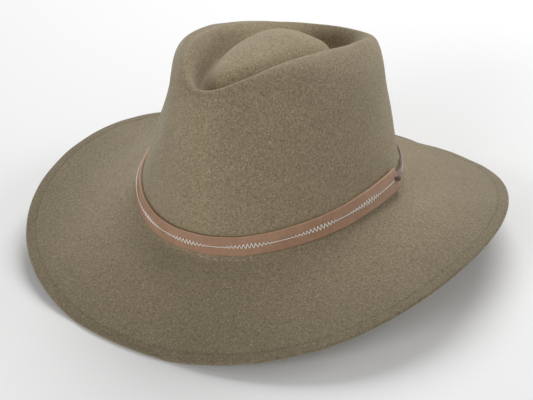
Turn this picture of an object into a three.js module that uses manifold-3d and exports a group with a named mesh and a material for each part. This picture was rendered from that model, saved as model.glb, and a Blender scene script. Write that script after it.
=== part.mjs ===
// A soft felt hat: a crown with a teardrop dent in its top, a wide brim that is low at the front and the
// back and raised at the sides, a leather band round the foot of the crown and a lace that closes the band.
// Lengths are millimetres and bearings are degrees round the crown, 0 at the front, 90 at the wearer's left.
// +Z is up, the front faces -Y, and the hat rests on its brim at z = 0.

import * as THREE from "three";
import Module from "manifold-3d";

// Hat
const hatLength = 336; // brim edge to brim edge, front to back
const hatWidth = 336.9; // brim edge to brim edge, side to side
const hatHeight = 156.7; // resting plane to the highest line of the crest
const feltThickness = 2.4;
const restFlat = 0.6; // underside of the brim nearer the resting plane than this lies flat on it
const restEase = 3; // height at which the flattening has died out

// Wear out of true: how much the wearer's left of a line is lifted, and its front left and rear right
const brimLean = 5.5;
const brimSway = -1.7;
const crestLean = 0.9;
const crestSway = -1.1;

// Side pinches of the crown
const pinchDepth = 8.5;
const pinchBearing = 52;
const pinchSpreadAngle = 26;
const pinchRise = 0.72; // share of the way up the wall
const pinchReach = 0.33;

// Back of the crest
const tailLift = 11; // how far the crest rises again at the very back
const tailSpreadAngle = 36; // bearing over which it does
const shoulderLift = 3.6; // how far the wearer's left rear of the crest is bulged up
const shoulderBearing = 128;
const shoulderSpreadAngle = 20;

// Band
const bandWidth = 13;
const bandThickness = 1.9;
const bandAboveFoot = 2.4;
const bandGap = 0.5; // between the band and the felt
const bandEndBearings = { left: 108, rear: 152 }; // the two ends, with the lace between them
const endLift = 1.95; // how much further off the felt the band stands at its ends
const endLiftAngle = 13; // bearing over which the band lifts

const bandMiddle = bandAboveFoot + bandWidth / 2;

// Lace
const laceWidth = 3.3;
const laceThickness = 1.3;
const laceGap = 0.4; // between the lace and whatever it passes
const holeInsetAngle = 2.4; // bearing from an end of the band to its hole
const holeDiameter = 3;
const knotDiameter = 4;
const laceBow = 3; // how far the lace stands out from the felt just past the left end of the band
const laceBowAngle = 11; // bearing over which it comes back to the felt

// Facets
const columns = 64;
const bandStepAngle = 3.35;
const laceStepAngle = 1.6;

// Lines round the hat. front, middle and back are shares of half the hat's length, halfWidth is a share of
// half its width, and the heights are shares of its height. middle is where the line crosses the widest
// bearing. egg above 0 widens the back, wave lifts the line between the front and the side, and the corners
// square it off.
const lines = [
  {
    name: "edge", front: -1, middle: 0.0465, back: 1, halfWidth: 1, egg: -0.0538,
    frontHeight: 0.0038, sideHeight: 0.2317, backHeight: 0.0038, wave: 0,
    frontCorner: 0.0317, backCorner: -0.0099,
  },
  {
    name: "foot", front: -0.5885, middle: 0.0071, back: 0.6133, halfWidth: 0.5383, egg: 0,
    frontHeight: 0.2246, sideHeight: 0.2914, backHeight: 0.2066, wave: 0,
    frontCorner: 0, backCorner: 0,
  },
  {
    name: "crest", front: -0.4312, middle: -0.0048, back: 0.5809, halfWidth: 0.2473, egg: 0.2285,
    frontHeight: 0.938, sideHeight: 0.9698, backHeight: 0.71, wave: -0.0046,
    frontCorner: 0, backCorner: 0.0962,
  },
  {
    name: "trough", front: -0.3665, middle: 0.0491, back: 0.4718, halfWidth: 0.185, egg: 0.1,
    frontHeight: 0.8349, sideHeight: 0.8521, backHeight: 0.6739, wave: 0,
    frontCorner: 0, backCorner: 0,
  },
  {
    name: "dome", front: -0.2717, middle: 0.0625, back: 0.3253, halfWidth: 0.0989, egg: 0.08,
    frontHeight: 0.9399, sideHeight: 0.9444, backHeight: 0.8474, wave: 0.0044,
    frontCorner: 0, backCorner: 0,
  },
];
const peak = { along: 0.0456, height: 0.9699 };

// Brim from its edge to the foot: out is the share of the way from the foot to the edge, ends and sides are
// the share of the drop reached there. steps are the rows of facets up to the next line.
const brim = [
  { out: 0.975, ends: 0.978, sides: 0.996, steps: 1 },
  { out: 0.95, ends: 0.955, sides: 0.99, steps: 2 },
  { out: 0.75, ends: 0.68, sides: 0.98, steps: 2 },
  { out: 0.5, ends: 0.38, sides: 0.86, steps: 3 },
  { out: 0.25, ends: 0.15, sides: 0.5, steps: 2 },
  { out: 0.1, ends: 0.05, sides: 0.2, steps: 3 },
];
const footRise = 2; // the foot line's height above the brim's own run

// Wall from the foot to the crest: rise is the share of the height, and front, side and back are the share
// of the lean reached there.
const wall = [
  { rise: 0.12, front: 0.080, side: 0.115, back: 0.150, steps: 2 },
  { rise: 0.28, front: 0.186, side: 0.238, back: 0.248, steps: 2 },
  { rise: 0.48, front: 0.313, side: 0.349, back: 0.388, steps: 2 },
  { rise: 0.68, front: 0.469, side: 0.438, back: 0.545, steps: 2 },
  { rise: 0.83, front: 0.618, side: 0.519, back: 0.642, steps: 2 },
  { rise: 0.93, front: 0.750, side: 0.635, back: 0.733, steps: 2 },
  { rise: 0.985, front: 0.865, side: 0.790, back: 0.847, steps: 2 },
];

// Dent from the crest down to the trough, the dome's flank from the trough up, and its top from there to the
// peak: along is the share of the way across, level the share of the height change.
const dent = [
  { along: 0.12, level: 0.03, steps: 2 },
  { along: 0.34, level: 0.22, steps: 2 },
  { along: 0.66, level: 0.72, steps: 2 },
];
const flank = [
  { along: 0.35, level: 0.3, steps: 1 },
  { along: 0.7, level: 0.76, steps: 1 },
];
const top = [
  { along: 0.34, level: 0.563, frontLevel: 0.62, steps: 1 },
  { along: 0.67, level: 0.89, frontLevel: 0.91, steps: 1 },
];

const radians = (bearing) => (bearing * Math.PI) / 180;
const hump = (distance, width) => Math.exp(-((distance / width) ** 2));

// Bearing from the front, below 0 on the wearer's right.
function signedBearing(angle) {
  const turned = THREE.MathUtils.euclideanModulo(angle + Math.PI, 2 * Math.PI) - Math.PI;
  return THREE.MathUtils.radToDeg(turned);
}

// Bearing from the front, the same on both sides of the hat.
function bearingOf(angle) {
  return Math.abs(signedBearing(angle));
}

// A value round the hat that is front at 0, side at 90 and back at 180 degrees.
function around(angle, front, side, back) {
  const mean = (front + back) / 4 + side / 2;
  const slope = (front - back) / 2;
  const oval = (front + back) / 4 - side / 2;
  return mean + slope * Math.cos(angle) + oval * Math.cos(2 * angle);
}

function linePoint(name, angle) {
  const line = lines.find((row) => row.name === name);
  const corner = Math.cos(angle) < 0 ? line.backCorner : line.frontCorner;
  const swell = 1 + (corner * (1 - Math.cos(4 * angle))) / 2;
  const egg = 1 - line.egg * Math.cos(angle);
  const across = (hatWidth / 2) * line.halfWidth * Math.sin(angle) * swell * egg;
  const along = (hatLength / 2) * around(angle, line.front, line.middle, line.back) * swell;
  const height = around(angle, line.frontHeight, line.sideHeight, line.backHeight);
  const point = new THREE.Vector3(across, along, hatHeight * (height + line.wave * Math.cos(3 * angle)));
  if (name === "edge") {
    point.z += brimLean * Math.sin(angle) + brimSway * Math.sin(2 * angle);
  }
  if (name === "crest") {
    point.z += crestLean * Math.sin(angle) + crestSway * Math.sin(2 * angle);
    point.z += tailLift * hump(180 - bearingOf(angle), tailSpreadAngle);
    point.z += shoulderLift * hump(signedBearing(angle) - shoulderBearing, shoulderSpreadAngle);
  }
  return point;
}

function between(from, to, across, level) {
  const point = from.clone().lerp(to, across);
  point.z = from.z + level * (to.z - from.z);
  return point;
}

// How far the pinches push the wall in at a bearing and a rise.
function pinchAt(angle, rise) {
  const beside = hump(bearingOf(angle) - pinchBearing, pinchSpreadAngle);
  const reach = rise < pinchRise ? pinchReach : 0.75 * pinchReach;
  return pinchDepth * beside * hump(rise - pinchRise, reach);
}

// The lines a meridian of the hat's upper face passes through, edge first and peak last.
function meridian(angle) {
  const edge = linePoint("edge", angle);
  const foot = linePoint("foot", angle);
  const crest = linePoint("crest", angle);
  const trough = linePoint("trough", angle);
  const dome = linePoint("dome", angle);
  const middle = new THREE.Vector3(0, (hatLength / 2) * peak.along, hatHeight * peak.height);
  const inward = new THREE.Vector3(-Math.sin(angle), 0.5 * Math.cos(angle), 0).normalize();
  const points = [edge];
  const steps = [1];
  const add = (point, count) => {
    points.push(point);
    steps.push(count);
  };
  for (const row of brim) {
    add(between(foot, edge, row.out, around(angle, row.ends, row.sides, row.ends)), row.steps);
  }
  add(foot.clone().setZ(foot.z + footRise), 3);
  for (const row of wall) {
    const point = between(foot, crest, around(angle, row.front, row.side, row.back), row.rise);
    add(point.addScaledVector(inward, pinchAt(angle, row.rise)), row.steps);
  }
  add(crest, 2);
  for (const row of dent) {
    add(between(crest, trough, row.along, row.level), row.steps);
  }
  add(trough, 2);
  for (const row of flank) {
    add(between(trough, dome, row.along, row.level), row.steps);
  }
  add(dome, 1);
  for (const row of top) {
    const level = around(angle, row.frontLevel, row.level, row.level);
    add(between(dome, middle, row.along, level), row.steps);
  }
  add(middle, 0);
  return { points, steps };
}
const footIndex = brim.length + 1;

// A point of the smooth curve through the meridian's lines, at a place between two of them.
function onCurve(points, place) {
  const k = Math.min(Math.floor(place), points.length - 2);
  const t = place - k;
  const p1 = points[k];
  const p2 = points[k + 1];
  const p0 = k > 0 ? points[k - 1] : p1.clone().multiplyScalar(2).sub(p2);
  const p3 = k + 2 < points.length ? points[k + 2] : p2.clone().multiplyScalar(2).sub(p1);
  const before = Math.sqrt(p0.distanceTo(p1)) + 1e-9;
  const here = Math.sqrt(p1.distanceTo(p2)) + 1e-9;
  const after = Math.sqrt(p2.distanceTo(p3)) + 1e-9;
  const leave = p1.clone().sub(p0).divideScalar(before);
  leave.sub(p2.clone().sub(p0).divideScalar(before + here));
  leave.add(p2.clone().sub(p1).divideScalar(here)).multiplyScalar(here);
  const arrive = p2.clone().sub(p1).divideScalar(here);
  arrive.sub(p3.clone().sub(p1).divideScalar(here + after));
  arrive.add(p3.clone().sub(p2).divideScalar(after)).multiplyScalar(here);
  return new THREE.Vector3()
    .addScaledVector(p1, 2 * t ** 3 - 3 * t ** 2 + 1)
    .addScaledVector(leave, t ** 3 - 2 * t ** 2 + t)
    .addScaledVector(p2, 3 * t ** 2 - 2 * t ** 3)
    .addScaledVector(arrive, t ** 3 - t ** 2);
}

function upperFace(angle, place) {
  return onCurve(meridian(angle).points, place);
}

function faceNormal(angle, place) {
  const last = meridian(angle).points.length - 1;
  const turn = 0.01;
  const along = upperFace(angle, Math.min(place + turn, last - 0.01));
  along.sub(upperFace(angle, Math.max(place - turn, 0)));
  const round = upperFace(angle + turn, Math.min(place, last - 0.01));
  round.sub(upperFace(angle - turn, Math.min(place, last - 0.01)));
  return round.cross(along).normalize();
}

// Flattens the brim where it rests: the height its underside takes for the height it would have.
function rested(height) {
  if (height < restFlat) {
    return 0;
  }
  if (height < restEase) {
    return ((height - restFlat) * restEase) / (restEase - restFlat);
  }
  return height;
}

function geometryOf(points, faces) {
  const geometry = new THREE.BufferGeometry();
  const flat = points.flatMap((p) => [p.x, p.y, p.z]);
  geometry.setAttribute("position", new THREE.Float32BufferAttribute(flat, 3));
  geometry.setIndex(faces.flat());
  return geometry;
}

// Felt: the upper face, and a lower face one thickness under it.
function feltGeometry() {
  const sample = meridian(0);
  const places = [];
  const lower = [];
  sample.steps.forEach((count, k) => {
    for (let i = 0; i < count; i += 1) {
      places.push(k + i / count);
      const sharp = k >= footIndex + wall.length - 1 && k <= footIndex + wall.length + 2;
      lower.push(k < 2 || i === 0 || sharp);
    }
  });
  const upperRows = [];
  const lowerRows = [];
  const angles = Array.from({ length: columns }, (_, j) => (j / columns) * 2 * Math.PI);
  places.forEach((place, k) => {
    const upper = [];
    const under = [];
    for (const angle of angles) {
      const above = upperFace(angle, place);
      const below = above.clone().addScaledVector(faceNormal(angle, place), -feltThickness);
      const shift = rested(below.z) - below.z;
      upper.push(above.setZ(above.z + shift));
      under.push(below.setZ(below.z + shift));
    }
    upperRows.push(upper);
    if (lower[k]) {
      lowerRows.push(under);
    }
  });
  const points = [];
  const faces = [];
  const rows = [];
  for (const row of [...lowerRows.reverse(), ...upperRows]) {
    rows.push(points.length);
    points.push(...row);
  }
  for (let k = 0; k + 1 < rows.length; k += 1) {
    for (let j = 0; j < columns; j += 1) {
      const next = (j + 1) % columns;
      const a = rows[k] + j;
      const b = rows[k] + next;
      const c = rows[k + 1] + j;
      const d = rows[k + 1] + next;
      faces.push([a, b, d], [a, d, c]);
    }
  }
  const last = sample.points.at(-1);
  const overMiddle = points.push(last.clone()) - 1;
  const underMiddle = points.push(last.clone().setZ(last.z - feltThickness)) - 1;
  for (let j = 0; j < columns; j += 1) {
    const next = (j + 1) % columns;
    faces.push([rows.at(-1) + j, rows.at(-1) + next, overMiddle]);
    faces.push([rows[0] + next, rows[0] + j, underMiddle]);
  }
  return geometryOf(points, faces);
}

// The place on a meridian that is a height above its foot line.
function placeAbove(angle, height) {
  const target = upperFace(angle, footIndex).z + height;
  let low = footIndex - 1;
  let high = footIndex + 3;
  for (let i = 0; i < 30; i += 1) {
    const middle = (low + high) / 2;
    if (upperFace(angle, middle).z < target) {
      low = middle;
    } else {
      high = middle;
    }
  }
  return (low + high) / 2;
}

// Which way a strip round the crown faces at a bearing.
function outward(angle) {
  return faceNormal(angle, placeAbove(angle, bandMiddle));
}

// A point a distance off the felt, at a height above the foot line.
function offWall(angle, height, distance) {
  const place = placeAbove(angle, height);
  return upperFace(angle, place).addScaledVector(outward(angle), distance);
}

// How far the band stands off the felt: a little all round, and more at its ends.
function bandOff(bearing) {
  const left = hump(Math.max(0, bandEndBearings.left - bearing), endLiftAngle);
  const rear = hump(Math.max(0, bearing - (bandEndBearings.rear - 360)), endLiftAngle);
  return bandGap + endLift * Math.max(left, rear);
}

// How far the lace is off the felt: close to it all along, but bowed out past the left end of the band.
function laceOff(bearing) {
  const past = bearing - bandEndBearings.left;
  const clear = THREE.MathUtils.smoothstep(past, -1, laceBowAngle / 2);
  return laceGap + laceBow * clear * hump(past - laceBowAngle / 3, laceBowAngle);
}

// Joins closed outlines, given in order along a strip, into one skin with flat ends.
function skinned(outlines) {
  const count = outlines[0].length;
  const points = outlines.flat();
  const faces = [];
  for (let k = 0; k + 1 < outlines.length; k += 1) {
    for (let j = 0; j < count; j += 1) {
      const a = k * count + j;
      const b = k * count + ((j + 1) % count);
      faces.push([a, b + count, b], [a, a + count, b + count]);
    }
  }
  const last = (outlines.length - 1) * count;
  for (let j = 1; j + 1 < count; j += 1) {
    faces.push([0, j, j + 1], [last, last + j + 1, last + j]);
  }
  return geometryOf(points, faces);
}

const wasm = await Module();
wasm.setup();
const { Manifold, Mesh } = wasm;

function solidOf(geometry) {
  return new Manifold(
    new Mesh({
      numProp: 3,
      vertProperties: new Float32Array(geometry.attributes.position.array),
      triVerts: new Uint32Array(geometry.index.array),
    }),
  );
}

function geometryFrom(solid) {
  const made = solid.getMesh();
  const geometry = new THREE.BufferGeometry();
  const positions = new Float32Array(made.numVert * 3);
  for (let i = 0; i < made.numVert; i += 1) {
    positions.set(made.vertProperties.subarray(i * made.numProp, i * made.numProp + 3), i * 3);
  }
  geometry.setAttribute("position", new THREE.BufferAttribute(positions, 3));
  geometry.setIndex(new THREE.BufferAttribute(new Uint32Array(made.triVerts), 1));
  return geometry;
}

// Moves a solid made round the Z axis so that the axis points straight out of the wall.
function pointedOut(solid, angle, distance) {
  const at = offWall(angle, bandMiddle, distance);
  const out = outward(angle);
  const polar = THREE.MathUtils.radToDeg(Math.acos(out.z));
  const turn = THREE.MathUtils.radToDeg(Math.atan2(out.y, out.x));
  return solid.rotate([0, polar, turn]).translate([at.x, at.y, at.z]);
}

const holes = [bandEndBearings.left - holeInsetAngle, bandEndBearings.rear + holeInsetAngle];

// Band: a strip from its rear end round the front to its left end, with a hole near each end.
function bandGeometry() {
  const from = bandEndBearings.rear - 360;
  const count = Math.round((bandEndBearings.left - from) / bandStepAngle);
  const bevel = bandThickness / 4;
  const outlines = [];
  for (let i = 0; i <= count; i += 1) {
    const bearing = from + ((bandEndBearings.left - from) * i) / count;
    const angle = radians(bearing);
    const off = bandOff(bearing);
    const low = bandAboveFoot;
    const high = bandAboveFoot + bandWidth;
    outlines.push([
      offWall(angle, low, off),
      offWall(angle, low, off + bandThickness - bevel),
      offWall(angle, low + bevel, off + bandThickness),
      offWall(angle, high - bevel, off + bandThickness),
      offWall(angle, high, off + bandThickness - bevel),
      offWall(angle, high, off),
      offWall(angle, bandMiddle, off),
    ]);
  }
  let strip = solidOf(skinned(outlines));
  for (const bearing of holes) {
    const drill = Manifold.cylinder(2 * bandWidth, holeDiameter / 2, holeDiameter / 2, 20, true);
    strip = strip.subtract(pointedOut(drill, radians(bearing), 0));
  }
  return geometryFrom(strip);
}

// Lace: a flat thong behind the two ends of the band, a stem out through each hole, and a knot on each stem.
function laceGeometry() {
  const from = holes[0] - 0.9;
  const to = holes[1] + 0.9;
  const count = Math.round((to - from) / laceStepAngle);
  const outlines = [];
  for (let i = 0; i <= count; i += 1) {
    const bearing = from + ((to - from) * i) / count;
    const angle = radians(bearing);
    const off = laceOff(bearing);
    const low = bandMiddle - laceWidth / 2;
    const high = bandMiddle + laceWidth / 2;
    outlines.push([
      offWall(angle, low, off),
      offWall(angle, low, off + laceThickness),
      offWall(angle, high, off + laceThickness),
      offWall(angle, high, off),
    ]);
  }
  let lace = solidOf(skinned(outlines));
  const outside = bandGap + endLift + bandThickness;
  for (const bearing of holes) {
    const angle = radians(bearing);
    const radius = holeDiameter / 2 - laceGap;
    const length = outside + knotDiameter / 3 - laceThickness / 2;
    const stem = Manifold.cylinder(length, radius, radius, 12, true);
    lace = lace.add(pointedOut(stem, angle, laceGap + laceThickness / 2 + length / 2));
    const knot = Manifold.sphere(knotDiameter / 2, 20).scale([1, 1, 0.8]);
    const reach = outside + laceGap + 0.4 * knotDiameter;
    lace = lace.add(pointedOut(knot, angle, reach));
  }
  return geometryFrom(lace);
}

function namedMesh(name, geometry, color, roughness) {
  geometry.computeVertexNormals();
  const material = new THREE.MeshStandardMaterial({ color, roughness, metalness: 0 });
  const mesh = new THREE.Mesh(geometry, material);
  mesh.name = name;
  return mesh;
}

const hat = new THREE.Group();
hat.name = "felt_hat";
hat.add(namedMesh("felt_body", feltGeometry(), "#7c7360", 0.95));
hat.add(namedMesh("leather_band", bandGeometry(), "#9b8068", 0.7));
hat.add(namedMesh("lace", laceGeometry(), "#5b4845", 0.75));

export default hat;
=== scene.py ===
"""Looks of a soft felt hat with a stitched leather band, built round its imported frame. Lengths are metres.

Every surface is a function of a bearing round the crown, 0 at the front and 90 at the wearer's left, and of a
place along the meridian there, which runs from the brim's edge up over the crest to the peak of the crown.
"""

import bpy
import numpy as np
from bpy.props import FloatProperty, FloatVectorProperty, PointerProperty
from mathutils import Matrix, Vector


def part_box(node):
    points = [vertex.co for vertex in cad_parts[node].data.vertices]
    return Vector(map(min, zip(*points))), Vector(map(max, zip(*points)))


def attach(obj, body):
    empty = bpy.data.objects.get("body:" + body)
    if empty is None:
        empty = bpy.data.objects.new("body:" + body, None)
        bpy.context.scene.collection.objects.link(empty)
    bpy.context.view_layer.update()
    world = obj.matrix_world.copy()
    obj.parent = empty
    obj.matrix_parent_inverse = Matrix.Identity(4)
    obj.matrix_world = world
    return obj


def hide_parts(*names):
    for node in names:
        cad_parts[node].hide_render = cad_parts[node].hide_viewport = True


bl_info = {
    "name": "Felt Hat",
    "version": (1, 0, 0),
    "blender": (4, 5, 0),
    "location": "View3D > Sidebar > Felt Hat",
    "description": "Builds a felt hat with a stitched leather band round its packed frame",
    "category": "Add Mesh",
}

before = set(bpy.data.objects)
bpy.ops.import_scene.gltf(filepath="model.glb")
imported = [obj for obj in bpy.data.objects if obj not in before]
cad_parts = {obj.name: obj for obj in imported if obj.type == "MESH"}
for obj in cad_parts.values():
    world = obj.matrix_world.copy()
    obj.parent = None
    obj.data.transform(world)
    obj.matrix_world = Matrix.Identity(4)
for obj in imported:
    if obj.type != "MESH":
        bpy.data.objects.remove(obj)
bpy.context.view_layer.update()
FELT_LOW, FELT_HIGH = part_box("felt_body")
MM = 0.001

# Lines round the hat. front, middle and back are shares of half the hat's length, half_width is a share of
# half its width, and the heights are shares of its height. egg widens the back, wave lifts the line between
# the front and the side, and the corners square it off.
LINES = {
    "edge": dict(
        front=-1, middle=0.0465, back=1, half_width=1, egg=-0.0538, wave=0,
        front_height=0.0038, side_height=0.2317, back_height=0.0038, front_corner=0.0317, back_corner=-0.0099,
    ),
    "foot": dict(
        front=-0.5885, middle=0.0071, back=0.6133, half_width=0.5383, egg=0, wave=0,
        front_height=0.2246, side_height=0.2914, back_height=0.2066, front_corner=0, back_corner=0,
    ),
    "crest": dict(
        front=-0.4312, middle=-0.0048, back=0.5809, half_width=0.2473, egg=0.2285, wave=-0.0046,
        front_height=0.938, side_height=0.9698, back_height=0.71, front_corner=0, back_corner=0.0962,
    ),
    "trough": dict(
        front=-0.3665, middle=0.0491, back=0.4718, half_width=0.185, egg=0.1, wave=0,
        front_height=0.8349, side_height=0.8521, back_height=0.6739, front_corner=0, back_corner=0,
    ),
    "dome": dict(
        front=-0.2717, middle=0.0625, back=0.3253, half_width=0.0989, egg=0.08, wave=0.0044,
        front_height=0.9399, side_height=0.9444, back_height=0.8474, front_corner=0, back_corner=0,
    ),
}
PEAK_ALONG, PEAK_HEIGHT = 0.0456, 0.9699
# Brim: share of the way out from the foot, share of the drop reached there at the ends and at the sides.
BRIM = ((0.975, 0.978, 0.996), (0.95, 0.955, 0.99), (0.75, 0.68, 0.98), (0.5, 0.38, 0.86), (0.25, 0.15, 0.5),
        (0.1, 0.05, 0.2))
# Wall: share of the height, share of the lean reached there at the front, the sides and the back.
WALL = ((0.12, 0.080, 0.115, 0.150), (0.28, 0.186, 0.238, 0.248), (0.48, 0.313, 0.349, 0.388),
        (0.68, 0.469, 0.438, 0.545), (0.83, 0.618, 0.519, 0.642), (0.93, 0.750, 0.635, 0.733),
        (0.985, 0.865, 0.790, 0.847))
# Dent and flank of the dome: share of the way across, share of the height change. Its top: the share of the
# way from the dome's line to the peak, the share of the height change there, and the same at the front.
DENT = ((0.12, 0.03), (0.34, 0.22), (0.66, 0.72))
FLANK = ((0.35, 0.3), (0.7, 0.76))
TOP = ((0.34, 0.563, 0.62), (0.67, 0.89, 0.91))
FOOT_PLACE = len(BRIM) + 1
CREST_PLACE = FOOT_PLACE + len(WALL) + 1
FOOT_RISE = 2 * MM
PINCH_DEPTH, PINCH_BEARING, PINCH_SPREAD = 8.5 * MM, 52, 26
PINCH_RISE, PINCH_REACH = 0.72, 0.33
TAIL_LIFT, TAIL_SPREAD = 11 * MM, 36
SHOULDER_LIFT, SHOULDER_BEARING, SHOULDER_SPREAD = 3.6 * MM, 128, 20
BRIM_LEAN, BRIM_SWAY = 5.5 * MM, -1.7 * MM
CREST_LEAN, CREST_SWAY = 0.9 * MM, -1.1 * MM
REST_FLAT, REST_EASE = 0.6 * MM, 3 * MM
SMALL_STEP = 0.01  # in places and in radians, for slopes of the surface
HALVINGS = 26

# Mesh and relief of the felt
FELT_COLUMNS = 300
ROW_SPACING, UNDERSIDE_ROW_SPACING = 1.55 * MM, 4 * MM
HEM_REACH = 1.2 * MM  # the rows are closest this far to each side of the hem line
HEM_DEPTH, HEM_SPREAD = 0.22 * MM, 0.9 * MM
UNEVEN = ((0.45 * MM, 62 * MM, 4), (0.2 * MM, 26 * MM, 9))  # height, size and seed of each unevenness
CREST_SPACING = 12 * MM  # rough distance between two knots of a meridian near the crest
FAR = 1.0  # distance from the edge and the crest that is given to the middle of the crown
UNDERSIDE_PLACE = -9.0  # place past the crest that is given to the underside and the rim

# Band and lace
BAND_ABOVE_FOOT = 2.4 * MM
BAND_GAP = 0.5 * MM
BAND_LEFT, BAND_REAR = 108, 152 - 360
END_LIFT, END_LIFT_SPAN = 1.95 * MM, 13
HOLE_INSET = 2.4
LACE_GAP = 0.4 * MM
LACE_BOW, LACE_BOW_SPAN = 3 * MM, 11
# Bearings where the zigzag is tallest
BURSTS = (-191.5, -164.5, -137.0, -110.0, -80.5, -51.5, -22.1, 3.1, 31.2, 60.6, 85.9)
BURST_RISE, BURST_FALL = 15.5, 11.0
BAND_STATIONS, BAND_BEVEL = 700, 0.42 * MM
STRIP_LOW, STRIP_HIGH, STRIP_LEVELS = -1.5 * MM, 24 * MM, 18  # heights above the foot line that strips reach
ZIGZAG_STATIONS, TOOTH_STEPS = 900, 7
THREAD_SIDES = 8
SEAM_SPACING, SEAM_SHIFT, SEAM_RADIUS = 3.05, 1.1, 0.3 * MM
STEM_RADIUS, STEM_SIDES = 1 * MM, 12

# Studio: each light's name, place and width, the point they face, and half the floor's side
LIGHTS = (
    ("back", (-0.44, 1.34, 1.47), 1.5),
    ("front", (0.0, -1.9, 0.68), 1.2),
    ("side", (1.34, 1.34, 0.68), 1.2),
)
LIT_POINT = (0, 0, 0.06)
FLOOR_HALF = 9.0
# Camera: degrees to the wearer's left of the front, above the floor, and turned about its view, then its
# place to the right, up and back from the middle of the resting plane, and its lens in pixels of the image
CAMERA_TURN, CAMERA_RISE, CAMERA_ROLL = 37.0, 30.652, -2.373
CAMERA_RIGHT, CAMERA_UP, CAMERA_BACK = -2.928 * MM, 23.418 * MM, 1250.174 * MM
CAMERA_FOCUS, IMAGE_WIDTH = 1744.1, 533
SENSOR_WIDTH = 36


# Shape of the hat


def hump(distance, width):
    """Bell curve: e to the minus square of distance over width."""
    return np.exp(-((distance / width) ** 2))


def smoothstep(x, low, high):
    """Cubic ease from 0 at low to 1 at high: t squared times 3 minus 2 t."""
    t = np.clip((x - low) / (high - low), 0, 1)
    return t * t * (3 - 2 * t)


def signed_bearing(angle):
    """Bearing from the front in degrees, below 0 on the wearer's right."""
    return np.degrees((angle + np.pi) % (2 * np.pi) - np.pi)


def bearing_of(angle):
    """Bearing from the front in degrees, the same on both sides of the hat."""
    return np.abs(signed_bearing(angle))


def around(angle, front, side, back):
    """Mean plus a cosine plus a cosine of twice the angle, so that it is front, side and back at 0, 90 and
    180 degrees."""
    mean = (front + back) / 4 + side / 2
    oval = (front + back) / 4 - side / 2
    return mean + (front - back) / 2 * np.cos(angle) + oval * np.cos(2 * angle)


def unit(vectors):
    """Vectors over their lengths."""
    return vectors / np.linalg.norm(vectors, axis=-1, keepdims=True)


def line_points(name, angle):
    """Points of a named line: across is a sine of the bearing, along and height are values round the hat."""
    felt = bpy.context.scene.hat_felt
    row = LINES[name]
    corner = np.where(np.cos(angle) < 0, row["back_corner"], row["front_corner"])
    swell = 1 + corner * (1 - np.cos(4 * angle)) / 2
    egg = 1 - row["egg"] * np.cos(angle)
    x = felt.width / 2 * row["half_width"] * np.sin(angle) * swell * egg
    y = felt.length / 2 * around(angle, row["front"], row["middle"], row["back"]) * swell
    height = around(angle, row["front_height"], row["side_height"], row["back_height"])
    z = felt.height * (height + row["wave"] * np.cos(3 * angle))
    if name == "edge":
        z = z + BRIM_LEAN * np.sin(angle) + BRIM_SWAY * np.sin(2 * angle)
    if name == "crest":
        z = z + CREST_LEAN * np.sin(angle) + CREST_SWAY * np.sin(2 * angle)
        z = z + TAIL_LIFT * hump(180 - bearing_of(angle), TAIL_SPREAD)
        z = z + SHOULDER_LIFT * hump(signed_bearing(angle) - SHOULDER_BEARING, SHOULDER_SPREAD)
    return np.stack([x, y, z], axis=-1)


def between(start, end, across, level):
    """A point part of the way from start to end, with its own share of the height change."""
    point = start + across * (end - start)
    point[..., 2] = start[..., 2] + level * (end[..., 2] - start[..., 2])
    return point


def meridians(angle):
    """Knots of the meridian at each bearing, brim's edge first and peak last, as (knots, bearings, 3)."""
    felt = bpy.context.scene.hat_felt
    edge, foot, crest, trough, dome = (line_points(name, angle) for name in LINES)
    inward = unit(np.stack([-np.sin(angle), 0.5 * np.cos(angle), 0 * angle], axis=-1))
    rows = [edge]
    rows += [between(foot, edge, out, around(angle, ends, sides, ends)) for out, ends, sides in BRIM]
    rows.append(foot + [0, 0, FOOT_RISE])
    for rise, front, side, back in WALL:
        reach = PINCH_REACH if rise < PINCH_RISE else 0.75 * PINCH_REACH
        near = hump(bearing_of(angle) - PINCH_BEARING, PINCH_SPREAD)
        push = PINCH_DEPTH * near * hump(rise - PINCH_RISE, reach)
        lean = around(angle, front, side, back)[:, None]
        rows.append(between(foot, crest, lean, rise) + inward * push[:, None])
    rows.append(crest)
    rows += [between(crest, trough, along, level) for along, level in DENT] + [trough]
    rows += [between(trough, dome, along, level) for along, level in FLANK] + [dome]
    peak = np.broadcast_to([0, felt.length / 2 * PEAK_ALONG, felt.height * PEAK_HEIGHT], edge.shape)
    rows += [between(dome, peak, along, around(angle, front, level, level)) for along, level, front in TOP]
    rows.append(peak)
    return np.stack(rows)


def on_meridians(knots, place):
    """Cubic curve through the knots whose pace follows the square root of their spacing. place is the number
    of knots passed, as (..., bearings)."""
    k = np.clip(np.floor(place).astype(int), 0, len(knots) - 2)
    t = (place - k)[..., None]
    padded = np.concatenate([2 * knots[:1] - knots[1:2], knots, 2 * knots[-1:] - knots[-2:-1]])
    column = np.broadcast_to(np.arange(knots.shape[1]), k.shape)
    p0, p1, p2, p3 = (padded[k + i, column] for i in range(4))
    before, here, after = (
        np.sqrt(np.linalg.norm(q - p, axis=-1, keepdims=True)) + 1e-9
        for p, q in ((p0, p1), (p1, p2), (p2, p3))
    )
    leave = ((p1 - p0) / before - (p2 - p0) / (before + here) + (p2 - p1) / here) * here
    arrive = ((p2 - p1) / here - (p3 - p1) / (here + after) + (p3 - p2) / after) * here
    return (
        (2 * t**3 - 3 * t**2 + 1) * p1
        + (t**3 - 2 * t**2 + t) * leave
        + (3 * t**2 - 2 * t**3) * p2
        + (t**3 - t**2) * arrive
    )


def upper_face(angle, place):
    """Points of the felt's upper face at bearings and places."""
    return on_meridians(meridians(angle), place)


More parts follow.
